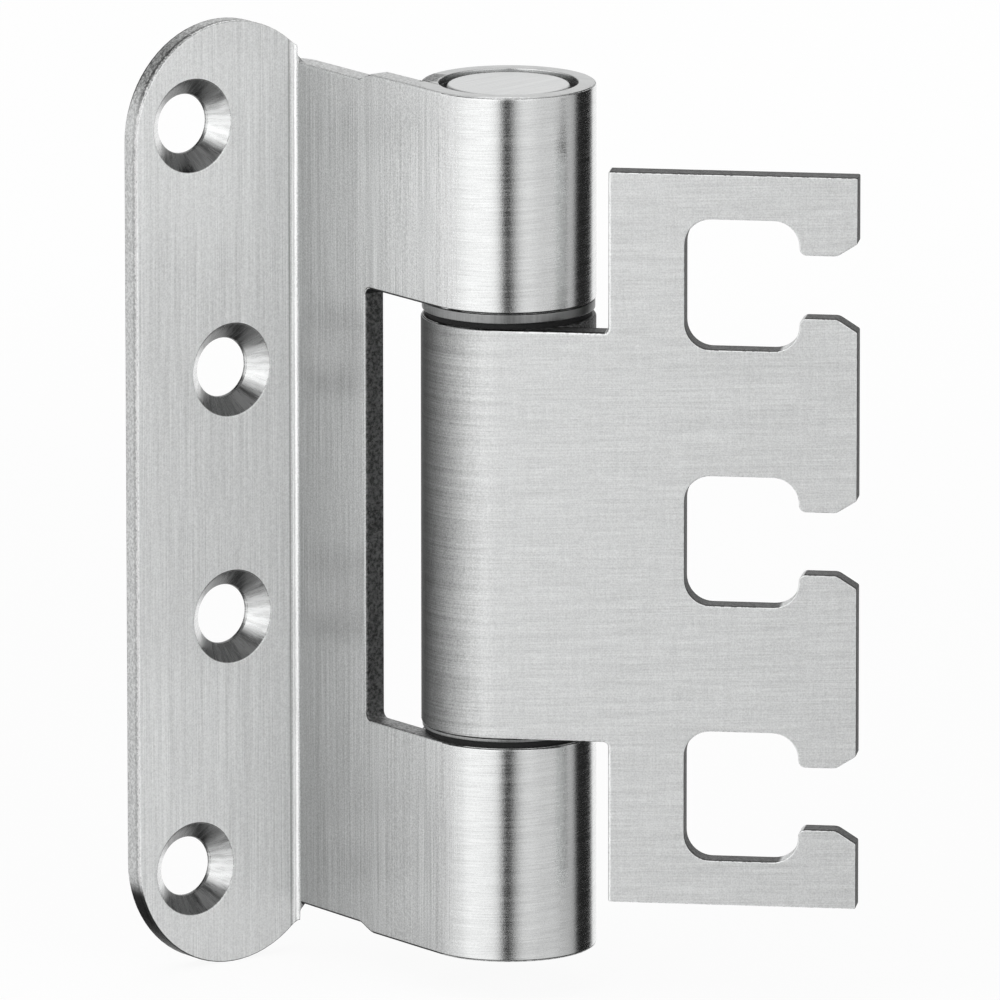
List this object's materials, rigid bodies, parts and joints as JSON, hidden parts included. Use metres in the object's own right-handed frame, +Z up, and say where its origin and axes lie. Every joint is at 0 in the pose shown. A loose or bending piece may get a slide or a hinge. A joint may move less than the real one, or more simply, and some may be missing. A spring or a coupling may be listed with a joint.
{
  "type": "lift off hinge",
  "caption": "Lift-off door hinge: a drilled, cranked wing leaf and a plate leaf with open hook notches, joined by rolled knuckles on a pull-out pin.",
  "frame": {"origin": "on the hook plate's front face, in the middle of the strip between the barrel and the notches", "axes": "+X along the hook plate towards its free edge, +Y from its front face to its back face, +Z up along the barrel"},
  "size_m": [0.1017, 0.03, 0.1316],
  "materials": {
    "sheet_steel": "satin, brushed along the leaves and round the knuckles",
    "turned_steel": "satin",
    "dark_liner": "matt"
  },
  "bodies": {
    "frame": {"frame_leaf": "sheet_steel", "upper_thrust_ring": "dark_liner", "lower_collar": "turned_steel"},
    "wing": {"wing_leaf": "sheet_steel", "upper_sleeve": "dark_liner", "lower_sleeve": "dark_liner", "upper_collar": "turned_steel", "lower_thrust_ring": "dark_liner"},
    "pin": {"hinge_pin": "turned_steel"}
  },
  "joints": [
    {"name": "wing_swing", "type": "hinge", "parent": "frame", "child": "wing", "pos_m": [-0.02035, 0.01195, 0], "axis": [0, 0, 1], "range_deg": [-133.5, 46.5]},
    {"name": "pin_draw", "type": "slide", "parent": "frame", "child": "pin", "axis": [0, 0, 1], "range_m": [0, 0.12]}
  ]
}
